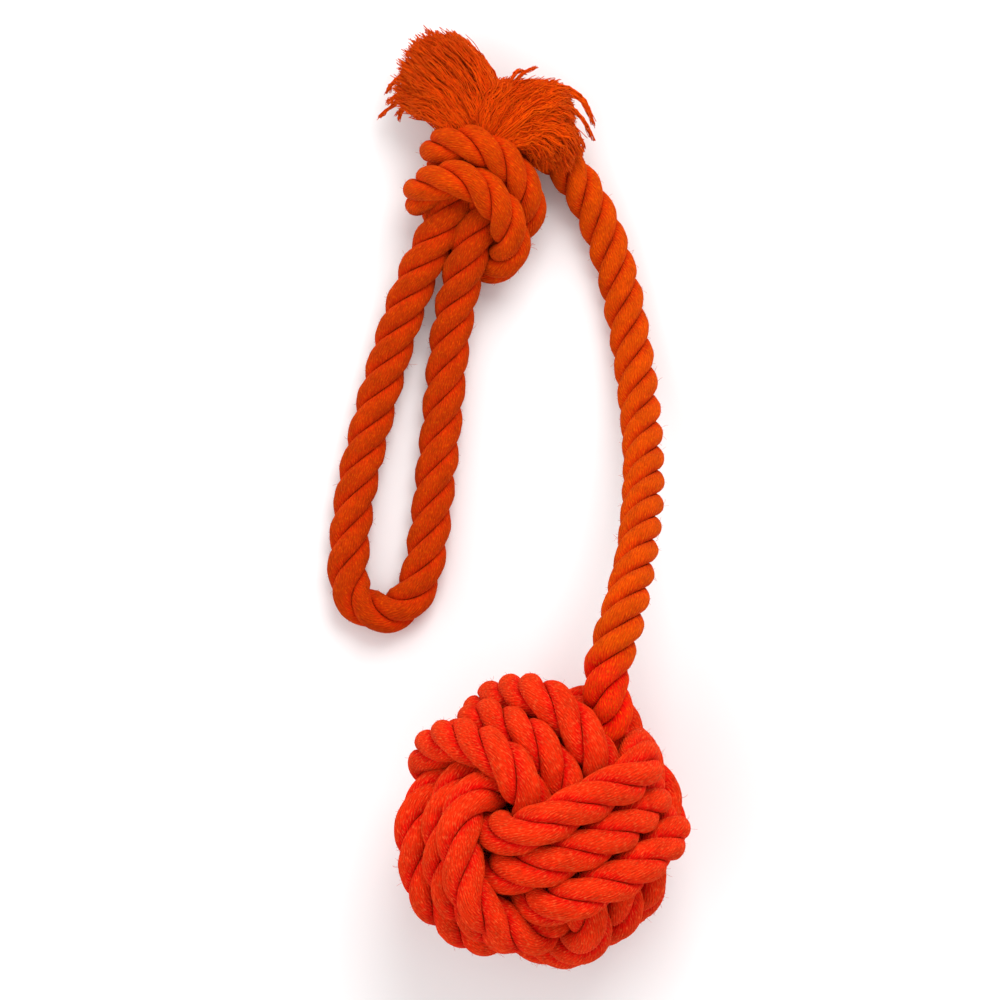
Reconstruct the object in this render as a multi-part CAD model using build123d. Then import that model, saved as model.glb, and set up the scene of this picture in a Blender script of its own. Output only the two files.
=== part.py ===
"""A dog's rope training bumper: a monkey's fist ball, a rope stem, and a knotted hand loop with frayed ends.

The bumper lies flat. X runs to the right, Y runs from the ball towards the frayed ends, and Z is up.
Points are given from the middle of the ball, with heights above the floor, and the whole bumper is
then moved so that the middle of its footprint stands on the origin.
"""

from build123d import *
import math
import os

# Rope
rope_d = 9.8
rope_r = rope_d / 2
tight_d = 8.6  # the same rope, squeezed inside the knot
socket_gap = 0.8  # room round a ball end, so that a bend of the rope can turn
arc_share = 0.45  # share of a run that each tangent arc may take up

# Ball: three sets of three turns, each set square to the other two, round a core
ball_centre = Vector(0, 0, 38.2)
core_d = 29.4
turn_reach = 29.8  # from the middle to the rope's centre line where a turn passes over
turn_waist = 19.85  # the same where it passes under
turn_spacing = 10.0
turn_bend = 9.7
middle_corner = Vector(-0.28, 0, 0.96)  # the corner between three sets that faces up
stem_corner = Vector(0.455, 0.785, 0.42)  # the corner that the stem comes out of

# Stem
stem_root_start = 27.0  # from the middle of the ball, along the way out
stem_root_corner = 34.0
stem_pivot = Vector(17.4, 41, 54)
stem_points = [
    (19.6, 53, 51),
    (23.2, 69, 39.5),
    (25.0, 86, 24),
    (24.0, 104, 11),
    (21.6, 122, 5.6),
    (17.6, 141, 5.3),
    (11.2, 156.5, 6.2),
]
stem_split = 3  # the stem's two halves meet in the middle of the run after this point
knot_pivot = Vector(3.2, 167.2, 8)

# Knot: three wraps, side by side, round a heart of squeezed rope
knot_centre = Vector(-17, 154, 15)
wrap_normal = Vector(0.31, 0.95, 0).normalized()  # the way that the wraps are stacked
wrap_half_height = 10.0
wrap_half_width = 12.3
wrap_offsets = {"upper": 6.0, "middle": -4.5}
lower_wrap_offset = -14.6
# across the knot and above the floor: the lower wrap arches over the two legs of the hand loop
lower_wrap_points = [(10.6, 4.5), (11.2, 14), (5, 19.6), (-6, 20.2), (-13.2, 16.0)]
heart_size = (14.6, 9.8)
heart_ends = (-12.0, 13.0)
entry_points = [(-6, 171.5, 10), (-12.0, 168.0, 13.5)]

# Hand loop
loop_left_pivot = Vector(-34.4, 131.3, 8.3)
loop_right_pivot = Vector(-22.6, 129.3, 8.3)
loop_points = [
    (-38.6, 118, 6.0),
    (-43.4, 101, 5.2),
    (-47.8, 83, 5.0),
    (-49.4, 68.5, 5.0),
    (-49.8, 57.5, 5.0),
    (-44.5, 51.9, 5.0),
    (-37.1, 51.9, 5.0),
    (-32.2, 57.3, 5.0),
    (-29.6, 67.5, 5.0),
    (-28.0, 82, 5.0),
    (-25.5, 104, 5.2),
    (-24.4, 117, 6.0),
]
left_root_start = Vector(-26.9, 145.2, 7.6)
right_root_start = Vector(-17.3, 142.2, 7.6)

# Frayed ends: a neck of rope across the top of the knot, with three opened strands at each end of it
left_tuft_pivot = Vector(-21, 178.5, 16)
right_tuft_pivot = Vector(-3, 175.5, 17.5)
neck_d = 9.0
neck_stem_start = Vector(-13.2, 166, 15.5)
strand_root_d = 4.2
strand_gap = 1.6  # from the ball end's surface to where a strand opens
left_tip_d = 10.8
right_tip_d = 8.4
# for each opened strand: heading from +X in degrees, slope in degrees, length
left_strands = {"top": (98, 6, 14.0), "middle": (141, -4, 15.5), "low": (184, -10, 14.5)}
right_strands = {"top": (76, 4, 9.5), "middle": (29, 2, 11.5), "low": (-17, -2, 11.0)}


def rope_run(points, diameter=rope_d):
    """A length of rope: straight runs through the points, joined by tangent arcs."""
    points = [Vector(p) for p in points]
    runs = [b - a for a, b in zip(points, points[1:])]
    radii = []
    for before, after in zip(runs, runs[1:]):
        half_turn = math.radians(before.get_angle(after)) / 2
        radii.append(arc_share * min(before.length, after.length) / math.tan(half_turn))
    if radii:
        path = FilletPolyline(*points, radius=radii)
    else:
        path = Line(*points)
    section = Plane(origin=path @ 0, z_dir=path % 0) * Circle(diameter / 2)
    rope = sweep(section, path=path)
    drawn = math.pi * diameter**2 / 4 * path.length
    print("  radii", [round(r, 1) for r in radii], "length", round(path.length, 1))
    print("  volume over section times length", round(rope.volume / drawn, 4))
    return rope


def ball_end(pivot, diameter=rope_d):
    return Pos(*pivot) * Sphere(diameter / 2)


def socket(pivot, diameter=rope_d):
    return Pos(*pivot) * Sphere(diameter / 2 + socket_gap)


def rope_ring(centre, across, up, half_width, half_height, bend):
    """One closed turn of rope, in the plane of two directions."""
    plane = Plane(origin=centre, x_dir=across, z_dir=across.cross(up))
    path = plane * RectangleRounded(2 * half_width, 2 * half_height, bend)
    path = path.wire()
    section = Plane(origin=path @ 0, z_dir=path % 0) * Circle(rope_r)
    return sweep(section, path=path)


def ball_directions():
    """The three square directions of the ball, from the two corners that place it."""
    third = (middle_corner - stem_corner).normalized()
    between = (middle_corner + stem_corner).normalized()
    side = between.cross(third)
    first = (between + side) * math.sqrt(0.5)
    second = (between - side) * math.sqrt(0.5)
    return [first, second, third]


def fist_ball():
    """The core and its nine turns. Each set passes over the next and under the one before."""
    parts = {"fist_core": Pos(*ball_centre) * Sphere(core_d / 2)}
    axes = ball_directions()
    for number, set_name in enumerate(("first", "second", "third")):
        under = axes[-number]
        over = axes[1 - number]
        along = axes[2 - number]
        for place in (-1, 0, 1):
            centre = ball_centre + along * (place * turn_spacing)
            turn = rope_ring(centre, under, over, turn_waist, turn_reach, turn_bend)
            parts[f"fist_{set_name}_turn_{place + 2}"] = turn
    return parts


def stem_root():
    """The rope's way out of the ball, squeezed through the corner between three turns."""
    axes = ball_directions()
    outward = (axes[0] + axes[1] - axes[2]).normalized()
    start = ball_centre + outward * stem_root_start
    corner = ball_centre + outward * stem_root_corner
    return rope_run([start, corner, stem_pivot], tight_d) - socket(stem_pivot)


def stem():
    before = Vector(stem_points[stem_split])
    after = Vector(stem_points[stem_split + 1])
    meeting = (before + after) * 0.5
    lower = rope_run([stem_pivot, *stem_points[: stem_split + 1], meeting])
    upper = rope_run([meeting, *stem_points[stem_split + 1 :], knot_pivot])
    return {
        "stem_rope_lower": lower + ball_end(stem_pivot),
        "stem_rope_upper": upper - socket(knot_pivot),
    }


def knot():
    up = Vector(0, 0, 1)
    across = wrap_normal.cross(up)
    bend = wrap_half_height - 0.2
    parts = {}
    for name, offset in wrap_offsets.items():
        centre = knot_centre + wrap_normal * offset
        ring = rope_ring(centre, across, up, wrap_half_width, wrap_half_height, bend)
        parts[f"knot_{name}_wrap"] = ring
    lower_start = knot_centre + wrap_normal * lower_wrap_offset - up * knot_centre.Z
    lower_points = [lower_start + across * side + up * height for side, height in lower_wrap_points]
    parts["knot_lower_wrap"] = rope_run(lower_points, tight_d)
    heart_start = knot_centre + wrap_normal * heart_ends[0]
    heart_plane = Plane(origin=heart_start, x_dir=across, z_dir=wrap_normal)
    heart_section = heart_plane * RectangleRounded(*heart_size, heart_size[1] / 2 - 0.1)
    parts["knot_heart"] = extrude(heart_section, heart_ends[1] - heart_ends[0])
    entry = rope_run([knot_pivot, *entry_points], tight_d)
    parts["knot_stem_entry"] = entry + ball_end(knot_pivot)
    return parts


def loop_root(start, pivot):
    """The rope between the knot and a leg of the loop, ending in a hollow round the leg's ball end."""
    back_from_pivot = (start - pivot).normalized() * (rope_r / 2)
    return rope_run([start, pivot + back_from_pivot]) - socket(pivot)


def loop_roots():
    return {
        "loop_root_left": loop_root(left_root_start, loop_left_pivot),
        "loop_root_right": loop_root(right_root_start, loop_right_pivot),
    }


def hand_loop():
    rope = rope_run([loop_left_pivot, *loop_points, loop_right_pivot])
    return rope + ball_end(loop_left_pivot) + ball_end(loop_right_pivot)


def tuft_neck():
    """The squeezed rope across the top of the knot that both frayed ends come out of."""
    bar = rope_run([left_tuft_pivot, right_tuft_pivot], neck_d)
    middle = (left_tuft_pivot + right_tuft_pivot) * 0.5
    post = rope_run([neck_stem_start, middle], neck_d)
    sockets = socket(left_tuft_pivot, neck_d) + socket(right_tuft_pivot, neck_d)
    return bar + post - sockets


def opened_strand(pivot, tip_d, heading, slope, length):
    """One opened strand: narrow where it leaves the ball end, wide and round at its tip."""
    tip_r = tip_d / 2
    root_r = strand_root_d / 2
    profile = Polyline((0, 0), (root_r, 0), (tip_r, length - tip_r))
    dome = RadiusArc((tip_r, length - tip_r), (0, length), -tip_r)
    axis_line = Line((0, length), (0, 0))
    face = make_face(Plane.XZ * (profile + dome + axis_line))
    strand = revolve(face, Axis.Z)
    flat = math.cos(math.radians(slope))
    direction = Vector(
        flat * math.cos(math.radians(heading)),
        flat * math.sin(math.radians(heading)),
        math.sin(math.radians(slope)),
    )
    start = pivot + direction * (neck_d / 2 + strand_gap)
    return Plane(origin=start, z_dir=direction).location * strand


def tuft(side, pivot, tip_d, strands):
    parts = {f"{side}_tuft_root": ball_end(pivot, neck_d)}
    for name, (heading, slope, length) in strands.items():
        parts[f"{side}_tuft_{name}_strand"] = opened_strand(pivot, tip_d, heading, slope, length)
    return parts


def bumper():
    parts = fist_ball()
    parts["stem_root"] = stem_root()
    parts.update(stem())
    parts.update(knot())
    parts.update(loop_roots())
    parts["hand_loop"] = hand_loop()
    parts["tuft_neck"] = tuft_neck()
    parts.update(tuft("left", left_tuft_pivot, left_tip_d, left_strands))
    parts.update(tuft("right", right_tuft_pivot, right_tip_d, right_strands))
    return parts


def main():
    parts = bumper()
    bounds = Compound([solid for part in parts.values() for solid in part.solids()]).bounding_box()
    middle = bounds.center()
    shift = Pos(-middle.X, -middle.Y, -bounds.min.Z)
    os.makedirs("parts", exist_ok=True)
    for name, part in parts.items():
        export_step(shift * part, f"parts/{name}.step")
    print("size", bounds.size)
    print("moved by", (-middle.X, -middle.Y, -bounds.min.Z))


main()
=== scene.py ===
"""The looks of the rope training bumper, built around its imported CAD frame, in metres.

Every rope is three strands laid round a centre line, and every strand shows its yarns. The turns of the
ball and the wraps of the knot are settled against each other, so that they press together as rope does.
Points of the routes are written in millimetres from the middle of the ball, with heights above the
floor, as they are in the CAD model.
"""

import math

import bpy
import numpy as np
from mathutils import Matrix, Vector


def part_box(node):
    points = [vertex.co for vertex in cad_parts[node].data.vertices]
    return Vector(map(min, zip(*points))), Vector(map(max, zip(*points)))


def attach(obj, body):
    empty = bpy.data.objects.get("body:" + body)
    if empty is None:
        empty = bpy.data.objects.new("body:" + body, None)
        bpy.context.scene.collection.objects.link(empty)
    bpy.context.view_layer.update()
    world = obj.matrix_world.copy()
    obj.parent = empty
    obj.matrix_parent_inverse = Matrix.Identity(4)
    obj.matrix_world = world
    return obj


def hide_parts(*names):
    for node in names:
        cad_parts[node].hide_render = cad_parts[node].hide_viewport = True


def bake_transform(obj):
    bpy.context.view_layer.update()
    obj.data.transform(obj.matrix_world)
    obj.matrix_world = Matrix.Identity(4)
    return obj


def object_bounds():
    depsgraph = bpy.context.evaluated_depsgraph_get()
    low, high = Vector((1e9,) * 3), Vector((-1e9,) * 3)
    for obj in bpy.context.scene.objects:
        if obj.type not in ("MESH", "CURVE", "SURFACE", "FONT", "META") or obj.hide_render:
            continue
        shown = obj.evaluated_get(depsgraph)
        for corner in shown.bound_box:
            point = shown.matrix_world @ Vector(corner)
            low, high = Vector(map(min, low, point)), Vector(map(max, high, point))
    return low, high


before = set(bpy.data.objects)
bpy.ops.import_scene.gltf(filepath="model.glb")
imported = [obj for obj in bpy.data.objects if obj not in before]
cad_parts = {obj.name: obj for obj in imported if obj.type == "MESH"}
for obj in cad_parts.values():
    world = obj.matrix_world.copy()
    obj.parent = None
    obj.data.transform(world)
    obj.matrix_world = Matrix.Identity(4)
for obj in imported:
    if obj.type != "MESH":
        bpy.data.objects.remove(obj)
cad_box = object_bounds()

MM = 0.001
chance = np.random.default_rng(20)

# Where the CAD model put the ball
ball_height = 38.2
core_low, core_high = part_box("fist_core")
ball_centre = np.array((core_low + core_high) / 2)
origin = ball_centre - np.array([0, 0, ball_height * MM])
floor_height = cad_box[0][2]

# Rope
cord_radius = 5.3 * MM
cord_lay = 24 * MM  # how far along the rope a strand goes once round
stem_lay = 22.5 * MM
loop_lay = 26 * MM
strand_offset = 0.45  # from the rope's centre line to a strand's, in rope radii
strand_depth = 0.55  # half a strand's size outwards, in rope radii
strand_width = 0.61  # half a strand's size round the rope, in rope radii
yarn_count = 28  # yarns seen round one strand
yarn_columns = 3  # mesh columns for each yarn
yarn_ridge = 0.22 * MM
yarn_unlay = 1.67  # turns of the yarns round a strand for each turn of the strand, the other way
wall_squeeze = 0.985  # how near the middle the flat walls between strands come, of the way to a neighbour
wall_sharpness = 10.0  # how sharply an oval strand turns into its flat walls
valley_shade = 0.07  # painted shade: a valley between yarns counts this much deeper than its neighbours
rope_step = 0.7 * MM
strand_lumps = 0.025  # how much thicker and thinner a strand gets, as a share
strand_lump_wave = 17 * MM  # and over what length
yarn_lumps = 0.045 * MM
yarn_lump_wave = 9 * MM

# Loose fibres on the rope
fuzz_crest = 0.84  # they stand off the strands from this far out, in rope radii
fuzz_root = 0.08 * MM  # how deep in the strand a fibre starts
fuzz_clearance = 0.05 * MM  # how far above the floor a fibre stays
fuzz_length = (2.2, 0.28)  # the shape and the scale in mm of the spread of their lengths
fuzz_length_limits = (0.25, 1.7)  # mm
fuzz_radii = (0.02, 0.045)  # mm
fuzz_lift = (0.25, 1.0)  # how far a fibre points out, beside how far it leans
fuzz_path = ((0.5, 0.08), (0.85, 0.3), (1.0, 0.55))  # ahead and aside at each point, in fibre lengths

# Settling
settle_gap = 0.4  # between the points of a line, in contacts
own_reach = 1.7  # points of one rope that are nearer than this along it don't push, in contacts
push_share = 0.35  # the share of an overlap that one push takes away
push_count = 3  # pushes in each step
respacing = 10  # the points are spaced evenly again after this many steps
rope_tension = 0.25  # the share of the way to its neighbours' middle that a point moves in each step
knot_tension = 0.12

# Ball
turn_radius = 5.6 * MM
turn_lay = 30 * MM
turn_contact = 10.6 * MM  # how near two turns' centre lines may come
turn_spacing = 11.2 * MM
turn_points = 60
turn_over = 32.0 * MM  # from the middle to a turn's centre line where it passes over
turn_under = 21.7 * MM  # the same where it passes under
over_angle = 0.45  # a turn is fully over as far as this from the middle of an over pass, in radians
under_angle = 0.94  # and fully under from here on
outer_turn_draw = 0.8  # how much an outer turn is drawn in, of what would put it on the same sphere
turn_phase = 1.3  # how much further round each turn's strands start than those of the turn before
near_ball = 50 * MM  # the turns settle against the part of the stem that is this near
ball_steps = 160
core_radius = 14.3 * MM
core_circles = 90
core_circle_points = 49
core_depths = (0.7, 3.5)  # how far under the core's surface its yarns lie, in mm
core_yarn_radius = 0.8 * MM
# Where the ball is pressed flatter: a direction, and how far a rope's centre line may lie that way in mm
ball_walls = [
    ((0.855, 0.52, 0.0), 28.4),
    ((0.74, -0.67, 0.0), 29.6),
    ((0.45, -0.89, 0.0), 30.2),
    ((0.0, -1.0, 0.0), 31.0),
]
middle_corner = np.array([-0.30, 0.23, 0.92])  # the corner between three sets of turns that faces up
stem_corner = np.array([0.455, 0.785, 0.42])  # the corner that the stem comes out of

# Stem, from inside the ball to inside the knot
stem_root_radii = (20.0, 27.0, 34.0)  # from the middle of the ball, along the way out
stem_exit_points = [(14.2, 35.5, 53.5), (16.6, 43.5, 54)]
stem_base_radius = 5.9 * MM  # it is thicker where it leaves the ball
stem_lower_points = [(19.6, 53, 51), (23.2, 69, 39.5), (25.0, 86, 24), (24.0, 104, 11)]
stem_upper_points = [(21.6, 122, 5.6), (17.6, 141, 5.3), (11.2, 156.5, 6.2)]
stem_meeting = 113  # how far from the ball's middle the stem's two halves meet, along Y
dye_change = (26.0, 31.0)  # where the ball's dye turns into the stem's, along the stem in mm
knot_pivot = (3.2, 167.2, 8)
entry_points = [(-6, 171.0, 7.8), (-12.5, 168.5, 7.0)]

# Hand loop
left_root_points = [(-20.5, 161.0, 14.5), (-24.5, 151.0, 13.5), (-29.5, 142.5, 11.0)]
loop_left_pivot = (-34.4, 131.3, 8.3)
loop_points = [
    (-38.6, 118, 6.0),
    (-43.4, 101, 5.2),
    (-47.8, 83, 5.0),
    (-49.4, 68.5, 5.0),
    (-49.8, 57.5, 5.0),
    (-44.5, 51.9, 5.0),
    (-37.1, 51.9, 5.0),
    (-32.2, 57.3, 5.0),
    (-29.6, 67.5, 5.0),
    (-28.0, 82, 5.0),
    (-25.5, 104, 5.2),
    (-24.4, 117, 6.0),
]
loop_right_pivot = (-22.6, 129.3, 8.3)
right_root_points = [(-20.0, 139.5, 12.5), (-17.5, 148.0, 14.0), (-13.5, 158.0, 14.5)]

# Knot: the stem's rope goes round the heart twice, and then behind the legs of the loop. The wraps start
# inside the end of the stem.
knot_middle = (-17, 154, 14)
wrap_radius = 4.9 * MM
wrap_contact = 1.72 * wrap_radius  # the wraps press into each other
# Places along the stem, from 0 to 1, and its radius at each. At its end it is as thin as the wraps that
# take over.
stem_radii = (
    (0, 0.17, 0.3, 0.93, 1),
    (stem_base_radius, stem_base_radius, cord_radius, cord_radius, wrap_radius),
)
wrap_cuts = (0.0, 0.40, 0.72, 1.0)  # where the wraps' rope is cut into three pieces
near_knot = 40 * MM  # the wraps settle against the parts of the stem and the loop that are this near
held_step = 4 * MM  # between the points of those parts
held_gap = 5 * MM  # two points further apart than this are on two parts
knot_steps = 30
squeezed_radius = 4.4 * MM
wrap_points = [
    (-4.5, 170.0, 7.2),
    (-13.0, 168.3, 5.6),
    (-22.0, 166.5, 5.2),
    (-29.3, 165.0, 9.0),
    (-30.0, 166.5, 17.0),
    (-25.0, 170.5, 21.5),
    (-17.0, 170.8, 22.8),
    (-10.0, 166.2, 22.8),
    (-4.4, 158.5, 19.5),
    (-2.6, 150.5, 12.5),
    (-6.5, 145.0, 5.5),
    (-18.0, 149.5, 5.0),
    (-27.5, 152.0, 6.0),
    (-32.0, 154.5, 12.0),
    (-31.5, 159.3, 18.5),
    (-25.0, 164.0, 22.5),
    (-17.5, 163.5, 24.0),
    (-11.8, 156.5, 23.5),
    (-6.8, 148.0, 19.5),
    (-6.8, 141.0, 12.5),
    (-13.0, 135.5, 6.0),
    (-22.0, 139.0, 5.0),
    (-28.0, 144.0, 6.0),
]
heart_lines = [
    [(-20.5, 161.0, 14.5), (-19.0, 166.0, 14.5), (-17.0, 171.0, 15.0)],
    [(-13.5, 158.0, 14.5), (-12.0, 163.0, 14.5), (-11.0, 168.0, 14.5)],
    [(-24.0, 165.0, 12.0), (-15.0, 162.0, 17.5), (-9.5, 153.0, 12.5), (-10.5, 144.0, 9.0)],
]

# Frayed ends: two short ropes come out of the knot, and open into yarns that fan out between the guides
group_yarns = 170  # yarns in each of the four groups of a frayed end
yarn_points = 11
yarn_fibres = 13
yarn_radius = 0.42 * MM
yarn_spread = 0.5  # how far a yarn strays from its place between the guides, in mm
yarn_lengths = (0.86, 1.0)  # as shares of the way to the end of a guide
filling_lengths = (0.4, 0.85)
outer_shortening = 0.16  # how much shorter the yarns at the top and the bottom are, as a share
# Places along the yarns, from 0 to 1, and half a frayed end's thickness at each, in mm
tuft_thickness = ((0, 0.3, 0.7, 1.0), (4.6, 6.0, 5.5, 3.0))
# Places along a yarn, from 0 to 1, and how far its fibres part at each
fibre_parting = ((0, 0.6, 1), (0.8, 1.0, 1.35))
yarn_crimp = (0.4 * MM, 2.2)  # how big the waves of a yarn are, and how many of them
fibre_crimp = (0.2 * MM, 4)
fibre_radii = (0.11, 0.19)  # mm
fibre_crests = (0.78, 0.98)  # how light the yarns are, on the scale of a strand's crests
fibre_crest_spread = 0.03
fibre_clearance = 0.3 * MM  # how far above the floor a fibre stays
stray_yarns = 3
stray_fibres = 7
stray_radius = 0.16 * MM
stray_spread = 0.45 * MM
neck_lines = [
    [(-17.0, 167.0, 15.0), (-19.0, 173.0, 16.0), (-21.0, 179.0, 15.5)],
    [(-11.0, 164.0, 14.5), (-13.0, 171.0, 16.0), (-12.0, 177.0, 16.5)],
]
# The yarns start along a neck line, bend towards a guide's first point and end at its second point
left_neck = [(-11.0, 170.5, 16.5), (-22.0, 169.0, 14.5)]
left_guides = [
    [(-10.6, 189.6, 15.0), (-23.2, 196.8, 15.0)],
    [(-14.3, 188.4, 15.5), (-28.0, 197.6, 15.5)],
    [(-18.0, 186.5, 16.0), (-32.2, 196.6, 15.0)],
    [(-21.0, 184.0, 16.0), (-35.0, 194.0, 14.0)],
    [(-23.0, 182.5, 15.5), (-36.2, 190.0, 13.0)],
    [(-24.0, 180.5, 15.0), (-37.5, 186.2, 12.0)],
    [(-24.8, 179.0, 14.5), (-37.8, 182.4, 12.0)],
    [(-25.2, 177.8, 14.0), (-36.0, 179.2, 12.5)],
    [(-25.5, 176.8, 14.0), (-30.5, 178.4, 12.5)],
]
right_neck = [(-17.0, 171.0, 16.5), (-8.5, 167.5, 16.5)]
right_guides = [
    [(-14.5, 182.0, 16.5), (-11.4, 185.8, 16.0)],
    [(-12.0, 183.0, 17.0), (-7.0, 184.6, 16.0)],
    [(-9.0, 183.4, 17.5), (-1.5, 184.6, 15.5)],
    [(-5.0, 184.4, 18.5), (3.8, 184.8, 15.0)],
    [(-1.0, 184.5, 19.0), (6.2, 181.0, 14.5)],
    [(1.5, 183.0, 19.5), (6.8, 176.5, 14.5)],
    [(3.0, 181.0, 19.5), (7.6, 171.0, 14.5)],
    [(3.5, 179.0, 19.5), (8.6, 166.0, 15.5)],
    [(2.0, 176.5, 19.0), (5.6, 162.6, 15.8)],
    [(-1.5, 174.0, 18.0), (1.0, 162.8, 15.5)],
    [(-5.0, 171.0, 17.0), (-3.8, 164.4, 15.0)],
]
# Thin bundles of yarn that stand out of the frayed ends: a start, a bend and an end for each
left_strays = [
    [(-30.0, 185.0, 15.0), (-37.5, 189.0, 14.0), (-39.7, 182.8, 11.0)],
    [(-32.0, 183.0, 14.0), (-36.0, 184.0, 13.0), (-39.6, 180.6, 11.0)],
    [(-33.0, 182.0, 12.0), (-37.0, 181.0, 10.0), (-41.7, 176.4, 7.0)],
    [(-31.0, 180.0, 13.0), (-36.5, 180.5, 11.0), (-36.8, 176.6, 9.0)],
]
right_strays = [
    [(-2.0, 184.0, 18.0), (9.5, 186.5, 17.0), (12.2, 174.6, 13.0)],
    [(-1.0, 183.0, 18.5), (9.0, 184.5, 17.0), (11.2, 177.0, 13.0)],
    [(1.0, 180.0, 18.5), (8.5, 180.5, 17.0), (12.0, 171.2, 12.0)],
    [(1.0, 177.0, 18.5), (7.5, 177.0, 17.0), (9.6, 168.2, 12.0)],
    [(-10.0, 181.0, 18.0), (-7.0, 187.5, 18.0), (-2.0, 188.6, 17.0)],
    [(-9.0, 182.0, 18.0), (-8.0, 189.5, 18.0), (-4.6, 187.2, 17.0)],
    [(-12.0, 167.0, 21.5), (-6.0, 167.5, 21.0), (-2.5, 171.5, 20.0)],
]


def at(point):
    """A point of the routes, in metres in the CAD's frame."""
    return origin + np.array(point, float) * MM


def unit(vectors):
    return vectors / np.linalg.norm(vectors, axis=-1, keepdims=True)


# Lines


def smooth_line(points, closed=False):
    """Points close together along the NURBS spline that these control points give."""
    curve = bpy.data.curves.new("line", "CURVE")
    curve.dimensions = "3D"
    curve.resolution_u = 24
    spline = curve.splines.new("NURBS")
    spline.points.add(len(points) - 1)
    for control, place in zip(spline.points, points):
        control.co = (*place, 1.0)
    spline.order_u = 3
    spline.use_cyclic_u = closed
    spline.use_endpoint_u = not closed
    holder = bpy.data.objects.new("line", curve)
    mesh = bpy.data.meshes.new_from_object(holder)
    line = np.array([vertex.co for vertex in mesh.vertices], float)
    bpy.data.objects.remove(holder)
    bpy.data.meshes.remove(mesh)
    bpy.data.curves.remove(curve)
    return line


def line_length(line, closed=False):
    ring = np.vstack([line, line[:1]]) if closed else line
    return np.linalg.norm(np.diff(ring, axis=0), axis=1).sum()


def even_points(line, step, closed=False):
    """Points a step apart along a line, and how far along it each one is."""
    ring = np.vstack([line, line[:1]]) if closed else line
    pieces = np.linalg.norm(np.diff(ring, axis=0), axis=1)
    run = np.concatenate([[0.0], np.cumsum(pieces)])
    count = max(int(round(run[-1] / step)), 3)
    distance = np.linspace(0.0, run[-1], count + 1)
    if closed:
        distance = distance[:-1]
    points = np.stack([np.interp(distance, run, ring[:, axis]) for axis in range(3)], axis=1)
    return points, distance


def frames(points, closed=False):
    """For each point, the direction along the line and two across it that turn as little as they can."""
    if closed:
        along = unit(np.roll(points, -1, axis=0) - np.roll(points, 1, axis=0))
    else:
        along = unit(np.gradient(points, axis=0))
    reference = np.eye(3)[np.argmin(np.abs(along[0]))]
    across = [unit(np.cross(along[0], reference))]
    for direction in along[1:]:
        carried = across[-1] - direction * (across[-1] @ direction)
        across.append(unit(carried))
    across = np.array(across)
    side = np.cross(along, across)
    if closed:
        carried = across[-1] - along[0] * (across[-1] @ along[0])
        leftover = math.atan2(carried @ side[0], carried @ across[0])
        turn = (-leftover * np.arange(len(points)) / len(points))[:, None]
        across, side = (
            across * np.cos(turn) + side * np.sin(turn),
            side * np.cos(turn) - across * np.sin(turn),
        )
    return along, across, side


# Settling ropes against each other


def rope_to_settle(points, closed=False, held=False, tension=rope_tension):
    """A rope as settle takes it. One that is held stays where it is, and only pushes the others."""
    return {"points": points, "closed": closed, "held": held, "tension": tension}


def settle(ropes, contact, steps, core=0.0, walls=()):
    """Ropes that lie nearer than contact push each other apart, while tension keeps each one smooth.

    A wall is a direction and how far the centre lines may go that way.
    """
    gap = settle_gap * contact
    for step in range(steps):
        for rope in ropes:
            line = rope["points"]
            if rope["held"]:
                continue
            if step % respacing == 0:
                line, _ = even_points(line, gap, rope["closed"])
            if rope["closed"]:
                middle = (np.roll(line, 1, axis=0) + np.roll(line, -1, axis=0)) / 2
                line = line + rope["tension"] * (middle - line)
            else:
                middle = (line[:-2] + line[2:]) / 2
                line[1:-1] += rope["tension"] * (middle - line[1:-1])
            rope["points"] = line
        push_apart(ropes, contact, gap, core, walls)


def push_apart(ropes, contact, gap, core, walls):
    """Moves the ropes' points out of each other, off the core and inside the walls."""
    places = np.vstack([rope["points"] for rope in ropes])
    sizes = [len(rope["points"]) for rope in ropes]
    owner = np.repeat(np.arange(len(ropes)), sizes)
    order = np.concatenate([np.arange(size) for size in sizes])
    ring = np.repeat([rope["closed"] for rope in ropes], sizes)
    length = np.repeat(sizes, sizes)
    free = np.repeat([not rope["held"] for rope in ropes], sizes)
    apart = np.abs(order[:, None] - order[None])
    apart = np.where(ring[:, None], np.minimum(apart, length[:, None] - apart), apart)
    strangers = (owner[:, None] != owner[None]) | (apart > own_reach * contact / gap)
    for _ in range(push_count):
        between = places[:, None] - places[None]
        distance = np.sqrt((between**2).sum(axis=2)) + 1e-9
        overlap = np.where(strangers, np.maximum(contact - distance, 0), 0)
        push = (between / distance[..., None] * overlap[..., None]).sum(axis=1) * push_share
        places += push * free[:, None]
        if core:
            radius = np.linalg.norm(places, axis=1) + 1e-9
            short = np.maximum(core + contact / 2 - radius, 0) / radius
            places += places * (short * free)[:, None]
        for direction, limit in walls:
            beyond = np.maximum(places @ direction - limit, 0) * free
            places -= beyond[:, None] * direction
    start = 0
    for rope, size in zip(ropes, sizes):
        moved = places[start : start + size]
        start += size
        if rope["held"]:
            continue
        if not rope["closed"]:
            moved[0] = rope["points"][0]
            moved[-1] = rope["points"][-1]
        rope["points"] = moved.copy()


# Rope surface


def strand_section(angle):
    """How far a strand's surface is from its middle, in rope radii, for a direction round the strand.

    The strand is an oval that two flat walls cut, where its neighbours press on it. Angle 0 is outwards.
    """
    oval = 1 / np.sqrt((np.cos(angle) / strand_depth) ** 2 + (np.sin(angle) / strand_width) ** 2)
    total = oval**-wall_sharpness
    for side in (-1, 1):
        towards = np.maximum(-np.cos(angle + side * math.pi / 6), 1e-3)
        wall = wall_squeeze * strand_offset * math.sin(math.pi / 3) / towards
        total += wall**-wall_sharpness
    return total ** (-1 / wall_sharpness)


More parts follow.
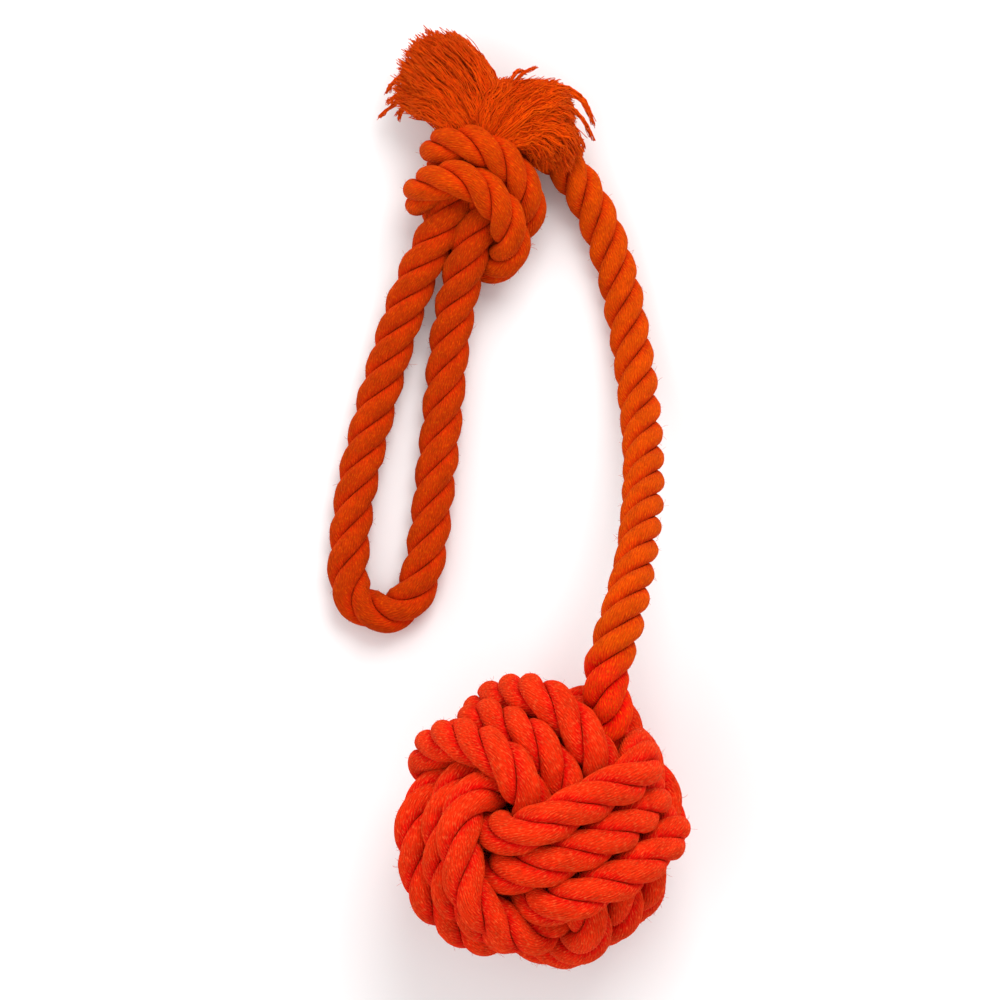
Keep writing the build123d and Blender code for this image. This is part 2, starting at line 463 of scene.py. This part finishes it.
def slow_noise(distance, count, wave, seed):
    """Smooth random numbers from about -1 to 1 along a length, for each of count rows."""
    draw = np.random.default_rng(seed)
    result = np.zeros((len(distance), count))
    for octave in (1.0, 1.9, 3.3):
        phase = draw.uniform(0, 2 * math.pi, count)
        pace = draw.uniform(0.8, 1.25, count) * octave / wave
        result += np.sin(2 * math.pi * distance[:, None] * pace + phase) / 3
    return result


def strand_heading(line, lay, place):
    """Which way a rope's first strand lies from its centre line, at the line's point nearest to place."""
    points, distance = even_points(line, rope_step)
    _, across, side = frames(points)
    nearest = np.argmin(np.linalg.norm(points - place, axis=1))
    turn = 2 * math.pi * distance[nearest] / lay
    return across[nearest] * math.cos(turn) + side[nearest] * math.sin(turn)


def phase_towards(line, heading):
    """The phase that starts a rope with its first strand lying that way."""
    points, _ = even_points(line, rope_step)
    _, across, side = frames(points)
    return math.atan2(heading @ side[0], heading @ across[0])


def rope_grid(line, closed, radius, lay, phase, seed):
    """For each strand its points, and how far out each one is; for each row its distance and heading."""
    points, distance = even_points(line, rope_step, closed)
    along, across, side = frames(points, closed)
    whole = line_length(line, closed)
    turns = whole / lay
    unlay = yarn_unlay
    if closed:
        turns = round(turns)
        unlay = round(yarn_unlay * turns) / turns
    turn = phase + 2 * math.pi * turns * distance / whole
    column = np.arange(yarn_count * yarn_columns)
    round_strand = 2 * math.pi * column / len(column)
    taper = radius if np.ndim(radius) == 0 else np.interp(distance / whole, *radius)
    size = np.broadcast_to(taper, distance.shape)
    places = np.zeros((3, len(points), len(column), 3))
    crest = np.zeros((3, len(points), len(column)))
    # the lumps of a closed rope die out where its end meets its start
    fade = np.sin(math.pi * distance / whole) ** 0.25 if closed else np.ones(len(points))
    for strand in range(3):
        own = seed * 10 + strand
        outward = turn + 2 * math.pi * strand / 3
        lump = 1 + strand_lumps * fade * slow_noise(distance, 1, strand_lump_wave, own)[:, 0]
        facing = round_strand[None] - unlay * turn[:, None]
        reach = strand_section(facing) * (size * lump)[:, None]
        yarn = slow_noise(distance, yarn_count, yarn_lump_wave, own + 5) * yarn_lumps
        yarn = yarn * fade[:, None]
        ridge = np.where(column % yarn_columns == 0, -yarn_ridge, 0.0)
        reach = reach + ridge[None] + np.repeat(yarn, yarn_columns, axis=1)
        offset = (strand_offset * size * lump)[:, None]
        x = offset * np.cos(outward)[:, None] + reach * np.cos(outward[:, None] + facing)
        y = offset * np.sin(outward)[:, None] + reach * np.sin(outward[:, None] + facing)
        # painted shade: valleys between yarns count as deeper, so they take more of the groove colour
        valley = np.where(column % yarn_columns == 0, valley_shade, 0.0)
        crest[strand] = np.hypot(x, y) / size[:, None] - valley
        places[strand] = points[:, None] + x[..., None] * across[:, None] + y[..., None] * side[:, None]
    places[..., 2] = np.maximum(places[..., 2], floor_height)
    return places, crest, distance, along


class Surface:
    """Vertices, faces and their attributes, gathered piece by piece and then made into one mesh."""

    def __init__(self):
        self.places = []
        self.quads = []
        self.triangles = []
        self.quad_yarns = []
        self.triangle_yarns = []
        self.crests = []
        self.tones = []
        self.count = 0

    def add(self, places, quads, triangles, yarn_places, crests, tones, yarn_quads=None):
        """yarn_quads counts the corners of the quads in yarn_places, where that isn't as long as places."""
        self.places.append(places)
        self.crests.append(crests)
        self.tones.append(np.broadcast_to(tones, crests.shape))
        self.quads.append(quads + self.count)
        self.quad_yarns.append(yarn_places[quads if yarn_quads is None else yarn_quads])
        self.triangles.append(triangles + self.count)
        self.triangle_yarns.append(yarn_places[triangles])
        self.count += len(places)

    def make(self, name, material):
        mesh = bpy.data.meshes.new(name)
        places = np.vstack(self.places)
        quads = np.vstack(self.quads)
        triangles = np.vstack(self.triangles)
        corners = np.concatenate([quads.ravel(), triangles.ravel()])
        starts = np.concatenate(
            [np.arange(len(quads)) * 4, len(quads) * 4 + np.arange(len(triangles)) * 3]
        )
        mesh.vertices.add(len(places))
        mesh.vertices.foreach_set("co", places.astype(np.float32).ravel())
        mesh.loops.add(len(corners))
        mesh.loops.foreach_set("vertex_index", corners.astype(np.int32))
        mesh.polygons.add(len(starts))
        mesh.polygons.foreach_set("loop_start", starts.astype(np.int32))
        mesh.update(calc_edges=True)
        corner_yarns = self.quad_yarns + self.triangle_yarns
        yarn_places = np.vstack([part.reshape(-1, 2) for part in corner_yarns])
        layer = mesh.uv_layers.new(name="yarns")
        layer.data.foreach_set("uv", yarn_places.astype(np.float32).ravel())
        for attribute_name, parts in (("crest", self.crests), ("tone", self.tones)):
            attribute = mesh.attributes.new(attribute_name, "FLOAT", "POINT")
            attribute.data.foreach_set("value", np.concatenate(parts).astype(np.float32))
        mesh.shade_smooth()
        mesh.materials.append(material)
        piece = bpy.data.objects.new(name, mesh)
        bpy.context.scene.collection.objects.link(piece)
        return piece


no_quads = np.zeros((0, 4), int)
no_triangles = np.zeros((0, 3), int)


def grid_quads(rows, columns, closed, unrolled=False):
    """Faces of a tube of rows of columns points, counted from 0, or on the sheet that it unrolls to."""
    row, column = np.meshgrid(np.arange(rows if closed else rows - 1), np.arange(columns), indexing="ij")
    corners = []
    for down, over in ((0, 0), (0, 1), (1, 1), (1, 0)):
        if unrolled:
            corners.append((row + down) * (columns + 1) + column + over)
        else:
            corners.append((row + down) % rows * columns + (column + over) % columns)
    return np.stack(corners, axis=-1).reshape(-1, 4)


def add_rope(
    surface,
    line,
    closed=False,
    radius=cord_radius,
    lay=cord_lay,
    phase=0.0,
    seed=1,
    tone=1.0,
    fuzz=8.0,
    part=None,
):
    """Three laid strands along a line, with capped ends, and the loose fibres that stand off them.

    tone is a number, or a function of the distance along the rope. fuzz is fibres for each millimetre.
    part is the stretch that is made, as two distances along the line.
    """
    places, crest, distance, along = rope_grid(line, closed, radius, lay, phase, seed)
    if part:
        kept = (distance > part[0] - rope_step / 2) & (distance < part[1] + rope_step / 2)
        places, crest = places[:, kept], crest[:, kept]
        distance, along = distance[kept], along[kept]
    strands, rows, columns, _ = places.shape
    quads = grid_quads(rows, columns, closed)
    yarn_quads = grid_quads(rows, columns, closed, unrolled=True)
    tones = tone(distance) if callable(tone) else np.full(rows, tone)
    round_yarns = np.arange(columns + 1) / yarn_columns
    lengths = np.append(distance, distance[-1] + rope_step) / MM
    for strand in range(strands):
        # each strand lies somewhere else in the noise that colours it
        yarn_places = np.empty((rows + 1, columns + 1, 2))
        yarn_places[..., 0] = round_yarns[None] + 40 * strand + 7 * seed
        yarn_places[..., 1] = lengths[:, None]
        surface.add(
            places[strand].reshape(-1, 3),
            quads,
            no_triangles,
            yarn_places.reshape(-1, 2),
            crest[strand].ravel(),
            np.repeat(tones, columns),
            yarn_quads,
        )
        if not closed:
            for row, backwards in ((0, True), (rows - 1, False)):
                yarns = yarn_places[row, :-1]
                add_cap(surface, places[strand][row], yarns, crest[strand][row], tones[row], backwards)
    length = distance[-1] - distance[0]
    add_fuzz(surface, places, crest, along, tones, int(fuzz * length / MM), seed)


def add_cap(surface, ring, yarn_places, crest, tone, backwards):
    """A flat end on a strand."""
    count = len(ring)
    places = np.vstack([ring, ring.mean(axis=0)])
    corner = np.arange(count)
    triangles = np.stack([corner, (corner + 1) % count, np.full(count, count)], axis=1)
    if backwards:
        triangles = triangles[:, ::-1]
    yarns = np.vstack([yarn_places, yarn_places.mean(axis=0)])
    surface.add(places, no_quads, triangles, yarns, np.append(crest, crest.mean()), tone)


def add_fuzz(surface, places, crest, along, tones, count, seed):
    """Short loose fibres that stand off the outside of the strands."""
    draw = np.random.default_rng(seed * 100 + 3)
    outside = np.argwhere(crest > fuzz_crest)
    chosen = outside[draw.integers(0, len(outside), count)]
    strand, row, column = chosen.T
    base = places[strand, row, column]
    middle = places[strand, row].mean(axis=1)
    outward = unit(base - middle)
    forward = along[row]
    sideways = np.cross(outward, forward)
    lean = draw.normal(0, 1, (count, 2))
    lift = outward * draw.uniform(*fuzz_lift, (count, 1))
    heading = unit(lift + forward * lean[:, :1] + sideways * lean[:, 1:])
    curl = unit(draw.normal(0, 1, (count, 3)))
    length = draw.gamma(*fuzz_length, (count, 1)).clip(*fuzz_length_limits) * MM
    points = [base - outward * fuzz_root]
    for ahead, aside in fuzz_path:
        points.append(base + heading * length * ahead + curl * length * aside)
    paths = np.stack(points, axis=1)
    paths[..., 2] = np.maximum(paths[..., 2], floor_height + fuzz_clearance)
    radii = draw.uniform(*fuzz_radii, count) * MM
    add_fibres(surface, paths, radii, sides=3, crest=1.12, tones=tones[row])


def add_fibres(surface, paths, radii, sides, crest, tones, tip=0.35):
    """Thin closed tubes along many short paths at once: paths is fibres by points by 3."""
    count, points, _ = paths.shape
    along = unit(np.gradient(paths, axis=1))
    uncommon = np.array([0.31, 0.52, 0.79])  # a direction that hardly any fibre runs along
    reference = unit(np.cross(along[:, :1], uncommon))
    across = unit(reference - along * (reference * along).sum(axis=2, keepdims=True))
    side = np.cross(along, across)
    angle = 2 * math.pi * np.arange(sides) / sides
    taper = np.interp(np.linspace(0, 1, points), [0, 0.7, 1], [1, 1, tip])
    reach = radii[:, None, None, None] * taper[None, :, None, None]
    rings = paths[:, :, None] + reach * (
        across[:, :, None] * np.cos(angle)[None, None, :, None]
        + side[:, :, None] * np.sin(angle)[None, None, :, None]
    )
    size = points * sides
    first = np.arange(count)[:, None, None] * size
    quads = (first + grid_quads(points, sides, False)[None]).reshape(-1, 4)
    fan = np.array([[0, k + 1, k] for k in range(1, sides - 1)])
    far = np.array([[0, k, k + 1] for k in range(1, sides - 1)]) + (points - 1) * sides
    caps = np.vstack([fan, far])
    triangles = (first + caps[None]).reshape(-1, 3)
    reaches = np.linalg.norm(paths[:, -1] - paths[:, 0], axis=1)
    run = np.linspace(0, 1, points)[None, :, None] * reaches[:, None, None]
    # each fibre lies somewhere else in the noise that colours it
    yarn_places = np.zeros((count, points, sides, 2))
    yarn_places[..., 0] = np.arange(count)[:, None, None] * 1.37
    yarn_places[..., 1] = run / MM
    crests = np.broadcast_to(np.reshape(crest, (-1, 1, 1)), (count, points, sides))
    tone_rows = np.broadcast_to(np.reshape(tones, (-1, 1, 1)), (count, points, sides))
    surface.add(
        rings.reshape(-1, 3),
        quads,
        triangles,
        yarn_places.reshape(-1, 2),
        crests.ravel(),
        tone_rows.ravel(),
    )


# Materials


def cotton(
    name,
    crest_colour,
    groove_colour,
    lint_colour,
    start_crest_colour=None,
    start_groove_colour=None,
    specks=0.6,
    streaks=(0.72, 1.18),
):
    """Dyed cotton yarn, streaked, with pale lint specks and painted shade: grooves take the groove colour.

    A rope that starts in another dye has two more colours, and the attribute tone fades from those.
    """
    material = bpy.data.materials.new(name)
    material.use_nodes = True
    nodes = material.node_tree.nodes
    links = material.node_tree.links
    nodes.clear()
    output = nodes.new("ShaderNodeOutputMaterial")
    shader = nodes.new("ShaderNodeBsdfPrincipled")
    shader.inputs["Roughness"].default_value = 0.88
    shader.inputs["Specular IOR Level"].default_value = 0.05
    shader.inputs["Sheen Weight"].default_value = 0.2
    shader.inputs["Sheen Roughness"].default_value = 0.5
    shader.inputs["Sheen Tint"].default_value = (1.0, 0.24, 0.03, 1.0)
    links.new(shader.outputs["BSDF"], output.inputs["Surface"])

    # Painted shade: where the crest attribute is low, in the grooves, the colour turns to the groove colour
    crest = nodes.new("ShaderNodeAttribute")
    crest.attribute_name = "crest"
    depth = nodes.new("ShaderNodeMapRange")
    depth.interpolation_type = "SMOOTHSTEP"
    depth.inputs["From Min"].default_value = 0.69
    depth.inputs["From Max"].default_value = 1.0
    links.new(crest.outputs["Fac"], depth.inputs["Value"])

    uv = nodes.new("ShaderNodeUVMap")
    uv.uv_map = "yarns"
    fibres = stretched_noise(nodes, links, uv, (3.1, 0.6, 1.0), detail=3.0)
    patches = stretched_noise(nodes, links, uv, (0.16, 0.10, 1.0), detail=2.0)
    lint = stretched_noise(nodes, links, uv, (2.4, 1.1, 1.0), detail=2.0)

    colour = mixed(nodes, links, depth.outputs["Result"], groove_colour, crest_colour)
    if start_crest_colour:
        start = mixed(nodes, links, depth.outputs["Result"], start_groove_colour, start_crest_colour)
        tone = nodes.new("ShaderNodeAttribute")
        tone.attribute_name = "tone"
        colour = mixed(nodes, links, tone.outputs["Fac"], start, colour)
    lint_share = ranged(nodes, links, lint, (0.52, 0.70), (0.0, specks))
    colour = mixed(nodes, links, lint_share, colour, lint_colour)
    streaked = ranged(nodes, links, fibres, (0.32, 0.68), streaks)
    blotches = ranged(nodes, links, patches, (0.3, 0.7), (0.86, 1.10))
    strength = nodes.new("ShaderNodeMath")
    strength.operation = "MULTIPLY"
    links.new(streaked, strength.inputs[0])
    links.new(blotches, strength.inputs[1])
    shade = nodes.new("ShaderNodeVectorMath")
    shade.operation = "SCALE"
    links.new(colour, shade.inputs[0])
    links.new(strength.outputs["Value"], shade.inputs["Scale"])
    links.new(shade.outputs["Vector"], shader.inputs["Base Color"])

    bump = nodes.new("ShaderNodeBump")
    bump.inputs["Strength"].default_value = 0.9
    bump.inputs["Distance"].default_value = 0.2 * MM
    links.new(fibres, bump.inputs["Height"])
    links.new(bump.outputs["Normal"], shader.inputs["Normal"])
    return material


def ranged(nodes, links, value, before, after):
    """A value moved from one range to another, and kept inside it."""
    node = nodes.new("ShaderNodeMapRange")
    node.inputs["From Min"].default_value, node.inputs["From Max"].default_value = before
    node.inputs["To Min"].default_value, node.inputs["To Max"].default_value = after
    links.new(value, node.inputs["Value"])
    return node.outputs["Result"]


def stretched_noise(nodes, links, uv, scale, detail):
    """Noise drawn out along the yarns. scale is how fine it is across them and along them."""
    mapping = nodes.new("ShaderNodeMapping")
    mapping.inputs["Scale"].default_value = scale
    links.new(uv.outputs["UV"], mapping.inputs["Vector"])
    noise = nodes.new("ShaderNodeTexNoise")
    noise.inputs["Scale"].default_value = 1.0
    noise.inputs["Detail"].default_value = detail
    links.new(mapping.outputs["Vector"], noise.inputs["Vector"])
    return noise.outputs["Fac"]


def mixed(nodes, links, factor, low, high):
    """A mix of two colours, each a colour or another node's output."""
    mix = nodes.new("ShaderNodeMix")
    mix.data_type = "RGBA"
    links.new(factor, mix.inputs["Factor"])
    first_colour, second_colour = mix.inputs[6], mix.inputs[7]
    mixed_colour = mix.outputs[2]
    for socket, value in ((first_colour, low), (second_colour, high)):
        if isinstance(value, bpy.types.NodeSocket):
            links.new(value, socket)
        else:
            socket.default_value = (*value, 1.0)
    return mixed_colour


# painted shade: the grooves take the groove colours, redder and darker on the ball, redder and lighter on
# the cords
ball_crest = (0.76, 0.024, 0.002)
ball_groove_shade = (0.74, 0.001, 0.001)
ball_lint = (0.94, 0.20, 0.05)
# painted light and shade: one cord dye in three copies, the stem lit lighter, the knot and the loop shaded
# darker
stem_lit_crest = (0.62, 0.057, 0.0)
stem_groove_shade = (0.60, 0.028, 0.0)
knot_shaded_crest = (0.57, 0.043, 0.0)
knot_groove_shade = (0.66, 0.031, 0.0)
loop_shaded_crest = (0.48, 0.032, 0.0)
loop_groove_shade = (0.60, 0.024, 0.0)
cord_lint = (0.80, 0.13, 0.0)
yarn_crest = (0.82, 0.074, 0.0)
yarn_groove = (0.68, 0.040, 0.0)
ball_cotton = cotton("ball_cotton", ball_crest, ball_groove_shade, ball_lint, specks=0.4)
stem_cotton_lit = cotton("stem_cotton_lit", stem_lit_crest, stem_groove_shade, cord_lint, ball_crest, ball_groove_shade)
knot_cotton_shaded = cotton("knot_cotton_shaded", knot_shaded_crest, knot_groove_shade, cord_lint)
loop_cotton_shaded = cotton("loop_cotton_shaded", loop_shaded_crest, loop_groove_shade, cord_lint, specks=0.4)
yarn_cotton = cotton("yarn_cotton", yarn_crest, yarn_groove, cord_lint, streaks=(0.86, 1.08))


# Camera


def camera():
    """Straight above the bumper, far away, with +Y up in the picture."""
    view_middle = at((-11.25, 80.25, 25))
    view_distance = 2.2
    view_width = 0.25
    lens = bpy.data.cameras.new("camera")
    lens.sensor_width = 36
    lens.lens = lens.sensor_width * view_distance / view_width
    lens.clip_end = 10
    placed = bpy.data.objects.new("camera", lens)
    placed.location = view_middle + np.array([0, 0, view_distance])
    bpy.context.scene.collection.objects.link(placed)
    bpy.context.scene.camera = placed


# Stem and hand loop


def stem_outward():
    """The way out of the ball, through the corner between three turns."""
    axes = ball_directions()
    return unit(axes[0] + axes[1] - axes[2])


def ball_directions():
    """The three square directions of the ball, from the two corners that place it."""
    third = unit(middle_corner - stem_corner)
    between = unit(middle_corner + stem_corner)
    side = np.cross(between, third)
    return [(between + side) * math.sqrt(0.5), (between - side) * math.sqrt(0.5), third]


def stem_line():
    roots = [ball_centre + stem_outward() * radius * MM for radius in stem_root_radii]
    route = [*stem_exit_points, *stem_lower_points, *stem_upper_points, knot_pivot, *entry_points]
    return smooth_line([*roots, *[at(point) for point in route]])


def ball_to_cord(distance):
    """From 0 in the ball's dye to 1 in the stem's, for distances along the stem."""
    start, end = dye_change
    return np.clip((distance / MM - start) / (end - start), 0, 1)


def blend_over(piece):
    """Puts the piece's placement into its mesh."""
    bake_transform(piece)


def stem_half(name, line, part):
    """The part of the stem between two distances along its line."""
    surface = Surface()
    add_rope(surface, line, radius=stem_radii, lay=stem_lay, seed=2, tone=ball_to_cord, part=part)
    piece = surface.make(name, stem_cotton_lit)
    return piece


def stem():
    line = stem_line()
    meeting = int(np.argmax(line[:, 1] > at((0, stem_meeting, 0))[1]))
    lower_line = line[: meeting + 1]
    cut = line_length(lower_line)

    lower = stem_half("stem_lower_rope", line, (0, cut))
    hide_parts("stem_root", "stem_rope_lower")
    blend_over(lower)

    upper = stem_half("stem_upper_rope", line, (cut, line_length(line)))
    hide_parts("stem_rope_upper", "knot_stem_entry")
    blend_over(upper)
    return line


def hand_loop():
    route = [*left_root_points, loop_left_pivot, *loop_points, loop_right_pivot, *right_root_points]
    line = smooth_line([at(point) for point in route])
    surface = Surface()
    add_rope(surface, line, lay=loop_lay, seed=4, fuzz=6.0)
    piece = surface.make("hand_loop_rope", loop_cotton_shaded)
    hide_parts("hand_loop", "loop_root_left", "loop_root_right")
    blend_over(piece)
    return line


# Ball


def fist_turn(number, place):
    """One closed turn before it settles. Each set passes over the next set and under the one before."""
    axes = ball_directions()
    under = axes[-number]
    over = axes[1 - number]
    along = axes[2 - number]
    angle = np.linspace(0, 2 * math.pi, turn_points, endpoint=False) + math.pi / 2  # from an under pass
    least = math.cos(under_angle)
    rise = np.clip((np.abs(np.cos(angle)) - least) / (math.cos(over_angle) - least), 0, 1)
    rise = rise * rise * (3 - 2 * rise)
    reach = turn_under + (turn_over - turn_under) * rise
    offset = place * turn_spacing
    reach = np.sqrt(reach**2 - outer_turn_draw * offset**2)
    return (
        (reach * np.sin(angle))[:, None] * under
        + (reach * np.cos(angle))[:, None] * over
        + offset * along
    )


def settled_fist(stem_path):
    """The nine turns, settled round the core and round the stem's way out."""
    ropes = []
    for number in range(3):
        for place in (-1, 0, 1):
            ropes.append(rope_to_settle(fist_turn(number, place), closed=True))
    near = stem_path[np.linalg.norm(stem_path - ball_centre, axis=1) < near_ball] - ball_centre
    root, _ = even_points(near, settle_gap * turn_contact)
    ropes.append(rope_to_settle(root, held=True))
    walls = [(unit(np.array(direction)), limit * MM) for direction, limit in ball_walls]
    settle(ropes, turn_contact, ball_steps, core=core_radius, walls=walls)
    return [rope["points"] for rope in ropes if not rope["held"]]


def ball(stem_path):
    turns = settled_fist(stem_path)
    number = 0
    for set_name in ("first", "second", "third"):
        for place in (1, 2, 3):
            node = f"fist_{set_name}_turn_{place}"
            line = smooth_line(turns[number] + ball_centre, closed=True)
            surface = Surface()
            add_rope(
                surface,
                line,
                closed=True,
                radius=turn_radius,
                lay=turn_lay,
                phase=turn_phase * number,
                seed=20 + number,
                tone=0.0,
            )
            piece = surface.make(node + "_rope", ball_cotton)
            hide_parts(node)
            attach(piece, "ball")
            number += 1


def core():
    """A ball of wound yarn: circles round its middle, in chance directions and at chance depths."""
    surface = Surface()
    angle = np.linspace(0, 2 * math.pi, core_circle_points)
    normals = unit(chance.normal(0, 1, (core_circles, 3)))
    first = unit(np.cross(normals, np.array([0.2, 0.5, 0.84])))
    second = np.cross(normals, first)
    radius = core_radius - chance.uniform(*core_depths, core_circles) * MM
    circles = radius[:, None, None] * (
        first[:, None] * np.cos(angle)[None, :, None] + second[:, None] * np.sin(angle)[None, :, None]
    )
    radii = np.full(core_circles, core_yarn_radius)
    add_fibres(surface, circles + ball_centre, radii, sides=6, crest=0.8, tones=0.0, tip=1.0)
    piece = surface.make("fist_core_yarn", ball_cotton)
    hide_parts("fist_core")
    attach(piece, "ball")


# Knot


def knot(stem_path, loop_path):
    """The wraps settle round the heart and the legs of the loop, and beside the stem."""
    drawn = smooth_line([at(point) for point in wrap_points])
    wraps, _ = even_points(drawn, settle_gap * 2 * wrap_radius)
    ropes = [rope_to_settle(wraps, tension=knot_tension)]
    outer_stem = stem_path[stem_path[:, 0] > at(knot_pivot)[0]]
    for line in (outer_stem, loop_path):
        near = line[np.linalg.norm(line - at(knot_middle), axis=1) < near_knot]
        steps = np.linalg.norm(np.diff(near, axis=0), axis=1)
        for stretch in np.split(near, np.flatnonzero(steps > held_gap) + 1):
            if len(stretch) > 3:
                points, _ = even_points(stretch, held_step)
                ropes.append(rope_to_settle(points, held=True))
    settle(ropes, wrap_contact, knot_steps, walls=[(np.array([0, 0, -1.0]), -wrap_radius)])
    settled = smooth_line(ropes[0]["points"])
    whole = line_length(settled)
    phase = phase_towards(settled, strand_heading(stem_path, stem_lay, settled[0]))
    nodes = ("knot_upper_wrap", "knot_middle_wrap", "knot_lower_wrap")
    for node, first_cut, last_cut in zip(nodes, wrap_cuts, wrap_cuts[1:]):
        part = (first_cut * whole, last_cut * whole)
        surface = Surface()
        add_rope(surface, settled, radius=wrap_radius, phase=phase, seed=40, part=part)
        piece = surface.make(node + "_rope", knot_cotton_shaded)
        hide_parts(node)
        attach(piece, "knot")
    surface = Surface()
    for number, points in enumerate(heart_lines):
        line = smooth_line([at(point) for point in points])
        add_rope(surface, line, radius=squeezed_radius, seed=50 + number, fuzz=0.5)
    piece = surface.make("knot_heart_rope", knot_cotton_shaded)
    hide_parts("knot_heart")
    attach(piece, "knot")


# Frayed ends


def tuft_neck():
    """The two ropes that come out of the top of the knot and open into the frayed ends."""
    surface = Surface()
    for number, points in enumerate(neck_lines):
        line = smooth_line([at(point) for point in points])
        add_rope(surface, line, radius=squeezed_radius, seed=60 + number)
    piece = surface.make("tuft_neck_rope", knot_cotton_shaded)
    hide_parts("tuft_neck")
    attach(piece, "knot")


def bent(controls, share):
    """Points along curves that each have a start, a point that they bend towards, and an end."""
    start, bend, end = (control[:, None] for control in controls)
    share = share[..., None]
    return start * (1 - share) ** 2 + bend * 2 * share * (1 - share) + end * share**2


def crimped(draw, paths, size, waves):
    """Paths with the small waves of yarn that has been untwisted, growing towards the loose end."""
    count, points, _ = paths.shape
    run = np.linspace(0, 1, points)[None, :, None]
    phase = draw.uniform(0, 2 * math.pi, (count, 1, 3))
    pace = draw.uniform(0.6 * waves, 1.4 * waves, (count, 1, 3))
    return paths + np.sin(2 * math.pi * pace * run + phase) * np.minimum(2 * run, 1) * size


def add_yarns(surface, draw, paths, radius, fibres):
    """Each path becomes a loose yarn: a bundle of fine fibres that part towards the end."""
    count, points, _ = paths.shape
    strands = np.repeat(paths, fibres, axis=0)
    spread = draw.normal(0, 1, (count * fibres, 1, 3))
    parting = np.interp(np.linspace(0, 1, points), *fibre_parting)[None, :, None]
    strands = strands + spread * parting * radius
    strands = crimped(draw, strands, *fibre_crimp)
    strands[..., 2] = np.maximum(strands[..., 2], floor_height + fibre_clearance)
    radii = draw.uniform(*fibre_radii, count * fibres) * MM
    crests = np.repeat(draw.uniform(*fibre_crests, count), fibres)
    crests = crests + draw.normal(0, fibre_crest_spread, count * fibres)
    add_fibres(surface, strands, radii, sides=3, crest=crests, tones=1.0, tip=0.7)


def across_guides(place, points):
    """Points between neighbouring guides, for places from 0 to 1 across them."""
    at_guide = np.linspace(0, 1, len(points))
    return np.stack([np.interp(place, at_guide, points[:, axis]) for axis in range(3)], axis=1)


def add_strays(surface, draw, strays, run):
    """Thin bundles of a few yarns, apart from the rest."""
    lines = np.array([[at(point) for point in stray] for stray in strays])
    lines = np.repeat(lines, stray_yarns, axis=0)
    lines = lines + draw.normal(0, 1, lines.shape) * stray_spread
    loose = bent([lines[:, 0], lines[:, 1], lines[:, 2]], np.tile(run, (len(lines), 1)))
    add_yarns(surface, draw, loose, stray_radius, stray_fibres)


def tuft(side, neck, guides, strays, seed):
    """One frayed end: loose yarns that follow the guides, in three groups round a filling."""
    draw = np.random.default_rng(seed)
    neck = np.array([at(point) for point in neck])
    bends = np.array([at(bend) for bend, end in guides])
    ends = np.array([at(end) for bend, end in guides])
    run = np.linspace(0, 1, yarn_points)
    for number, name in enumerate(("top", "middle", "low", "root")):
        filling = name == "root"
        low, high = (0.0, 1.0) if filling else (number / 3, (number + 1) / 3)
        place = draw.uniform(low, high, group_yarns)
        level = draw.uniform(-1, 1, group_yarns)
        longest = draw.uniform(*(filling_lengths if filling else yarn_lengths), group_yarns)
        longest = longest * (1 - outer_shortening * level**2)
        controls = [across_guides(place, points) for points in (neck, bends, ends)]
        share = run[None] * longest[:, None]
        paths = bent(controls, share)
        half_thickness = np.interp(share, *tuft_thickness) * MM
        paths[..., 2] += level[:, None] * half_thickness
        loosened = np.minimum(3 * run, 1)[None, :, None]
        paths = paths + draw.normal(0, yarn_spread, (group_yarns, 1, 3)) * loosened * MM
        paths = crimped(draw, paths, *yarn_crimp)
        surface = Surface()
        add_yarns(surface, draw, paths, yarn_radius, yarn_fibres)
        if name == "middle":
            add_strays(surface, draw, strays, run)
        piece = surface.make(f"{side}_tuft_{name}_yarns", yarn_cotton)
        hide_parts(f"{side}_tuft_root" if filling else f"{side}_tuft_{name}_strand")
        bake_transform(piece)


# Studio


def studio():
    """A pale floor, two big soft lights and an even sky."""
    world = bpy.data.worlds.new("sky")
    world.use_nodes = True
    world.node_tree.nodes["Background"].inputs["Color"].default_value = (1, 1, 1, 1)
    world.node_tree.nodes["Background"].inputs["Strength"].default_value = 0.85
    bpy.context.scene.world = world
    for name, place, size, power in (
        ("key", (0.3, 1.0, 1.25), 0.9, 16.0),
        ("fill", (-0.9, -0.2, 1.2), 1.2, 4.0),
    ):
        lamp = bpy.data.lights.new(name, "AREA")
        lamp.size = size
        lamp.energy = power
        placed = bpy.data.objects.new(name, lamp)
        placed.location = place
        direction = placed.location.normalized()
        placed.rotation_euler = direction.to_track_quat("Z", "Y").to_euler()
        bpy.context.scene.collection.objects.link(placed)
    mesh = bpy.data.meshes.new("floor")
    half = 3.0
    level = -0.1 * MM  # just under the bumper
    corners = [(-half, -half, level), (half, -half, level), (half, half, level), (-half, half, level)]
    mesh.from_pydata(corners, [], [(0, 1, 2, 3)])
    material = bpy.data.materials.new("pale_floor")
    material.use_nodes = True
    shader = material.node_tree.nodes["Principled BSDF"]
    shader.inputs["Base Color"].default_value = (0.9, 0.9, 0.9, 1)
    shader.inputs["Roughness"].default_value = 0.9
    mesh.materials.append(material)
    floor = bpy.data.objects.new("floor", mesh)
    bpy.context.scene.collection.objects.link(floor)
    bpy.context.scene.view_settings.view_transform = "Standard"


camera()
studio()
stem_path = stem()
loop_path = hand_loop()
ball(stem_path)
core()
knot(stem_path, loop_path)
tuft_neck()
tuft("left", left_neck, left_guides, left_strays, 71)
tuft("right", right_neck, right_guides, right_strays, 72)
